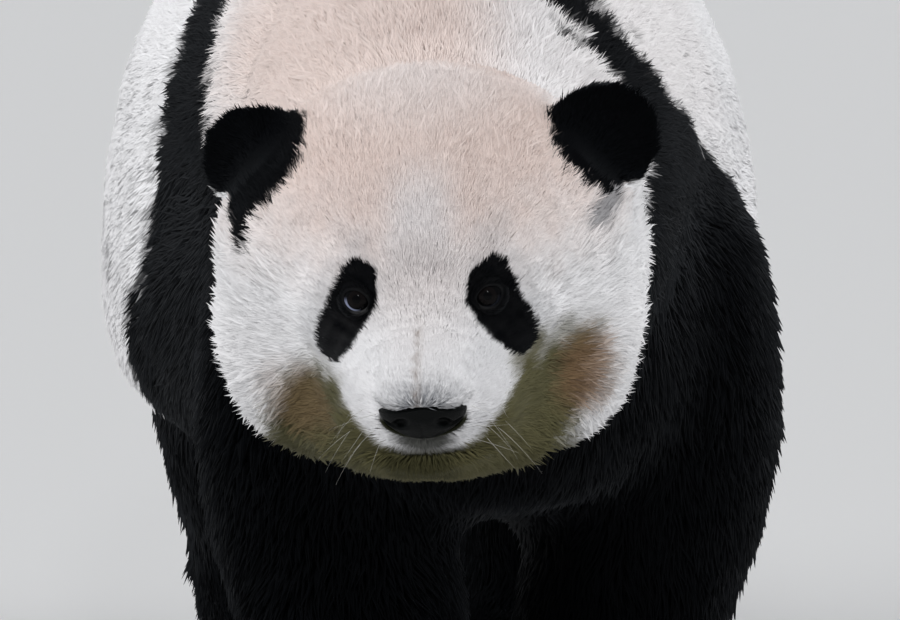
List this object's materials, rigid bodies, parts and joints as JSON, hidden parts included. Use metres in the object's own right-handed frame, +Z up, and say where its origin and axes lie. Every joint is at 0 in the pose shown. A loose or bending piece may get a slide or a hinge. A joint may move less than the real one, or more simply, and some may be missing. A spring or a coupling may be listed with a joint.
{
  "type": "life-size giant panda model",
  "caption": "Still, life-size model of a giant panda walking with its head held low, standing on flat soles.",
  "frame": {"origin": "on the floor, below the middle of the box round the animal", "axes": "+Z up, -Y the way the animal faces, +X its own left side"},
  "size_m": [0.576, 1.5224, 0.782],
  "materials": {
    "white_fur": "matte",
    "black_fur": "matte",
    "nose_leather": "satin",
    "eye_gloss": "gloss",
    "claw_horn": "satin"
  },
  "bodies": {
    "root": {"head": "white_fur", "muzzle": "white_fur", "neck": "white_fur", "barrel": "white_fur", "rump": "white_fur", "tail": "white_fur", "chest": "black_fur", "ear_left": "black_fur", "ear_right": "black_fur", "upper_arm_left": "black_fur", "upper_arm_right": "black_fur", "forearm_left": "black_fur", "forearm_right": "black_fur", "forepaw_left": "black_fur", "forepaw_right": "black_fur", "thigh_left": "black_fur", "thigh_right": "black_fur", "shin_left": "black_fur", "shin_right": "black_fur", "hindpaw_left": "black_fur", "hindpaw_right": "black_fur", "nose": "nose_leather", "eye_left": "eye_gloss", "eye_right": "eye_gloss", "claw_fore_left_1": "claw_horn", "claw_fore_left_2": "claw_horn", "claw_fore_left_3": "claw_horn", "claw_fore_left_4": "claw_horn", "claw_fore_left_5": "claw_horn", "claw_fore_right_1": "claw_horn", "claw_fore_right_2": "claw_horn", "claw_fore_right_3": "claw_horn", "claw_fore_right_4": "claw_horn", "claw_fore_right_5": "claw_horn", "claw_hind_left_1": "claw_horn", "claw_hind_left_2": "claw_horn", "claw_hind_left_3": "claw_horn", "claw_hind_left_4": "claw_horn", "claw_hind_left_5": "claw_horn", "claw_hind_right_1": "claw_horn", "claw_hind_right_2": "claw_horn", "claw_hind_right_3": "claw_horn", "claw_hind_right_4": "claw_horn", "claw_hind_right_5": "claw_horn"}
  },
  "joints": []
}
